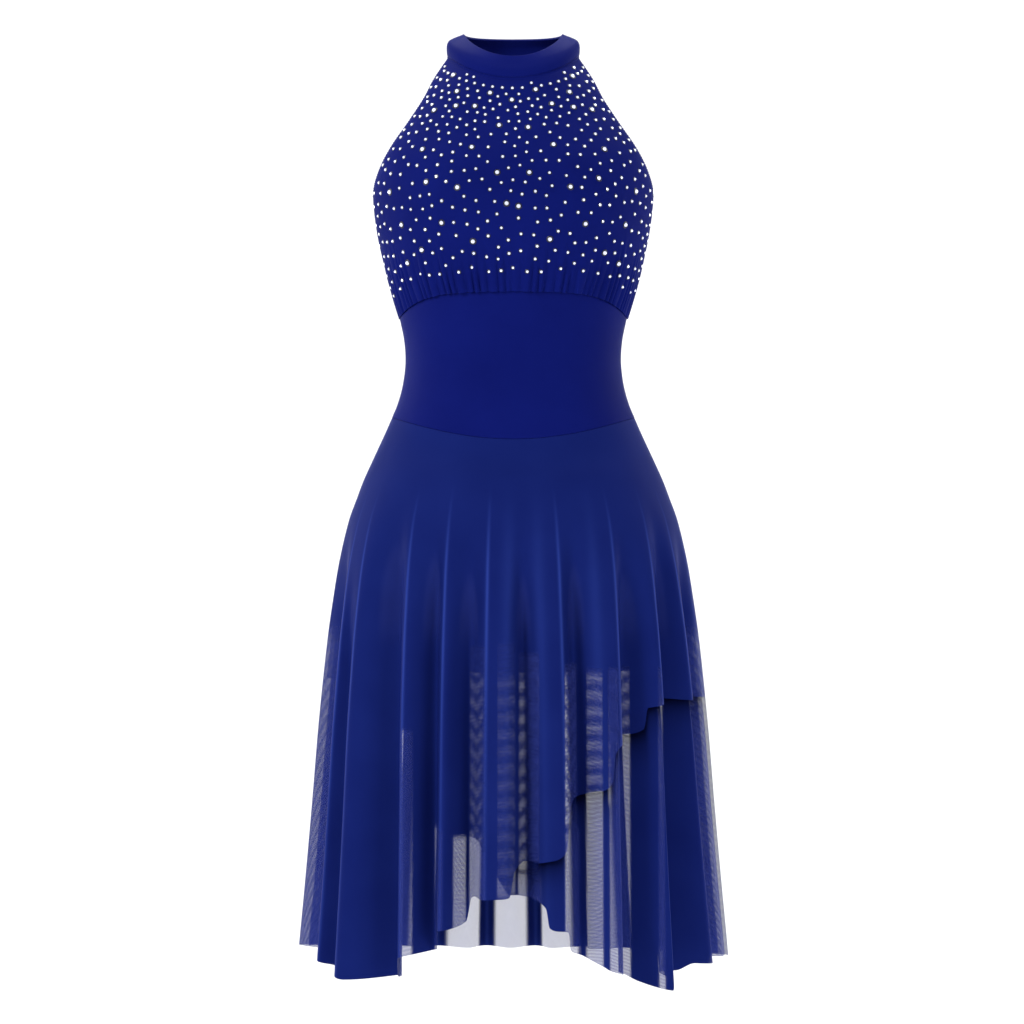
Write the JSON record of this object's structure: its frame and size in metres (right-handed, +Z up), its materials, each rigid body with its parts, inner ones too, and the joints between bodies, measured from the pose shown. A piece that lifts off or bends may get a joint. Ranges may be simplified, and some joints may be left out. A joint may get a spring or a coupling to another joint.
{
  "type": "lyrical dance dress",
  "caption": "Sleeveless worn-form dance dress: stand collar, halter bodice gathered into an arched seam, smooth waistband, crossing sheer net skirt panels over a short lining.",
  "frame": {"origin": "centre of the neck opening, level with the collar seam at the sides, where a wearer's neck holds the dress", "axes": "+Z up out of the neck, -Y out of the front of the dress, +X to the right of a viewer who faces the front"},
  "size_m": [0.4524, 0.391, 0.9999],
  "materials": {
    "spandex": "satin",
    "spandex_bodice": "satin",
    "stretch_net": "matte",
    "lining": "matte"
  },
  "bodies": {
    "root": {"collar": "spandex", "bodice_front": "spandex_bodice", "bodice_back": "spandex_bodice", "waistband_front": "spandex", "waistband_back": "spandex", "skirt_front_over": "stretch_net", "skirt_front_under": "stretch_net", "skirt_back": "stretch_net", "lining_front": "lining", "lining_back": "lining"}
  },
  "joints": []
}
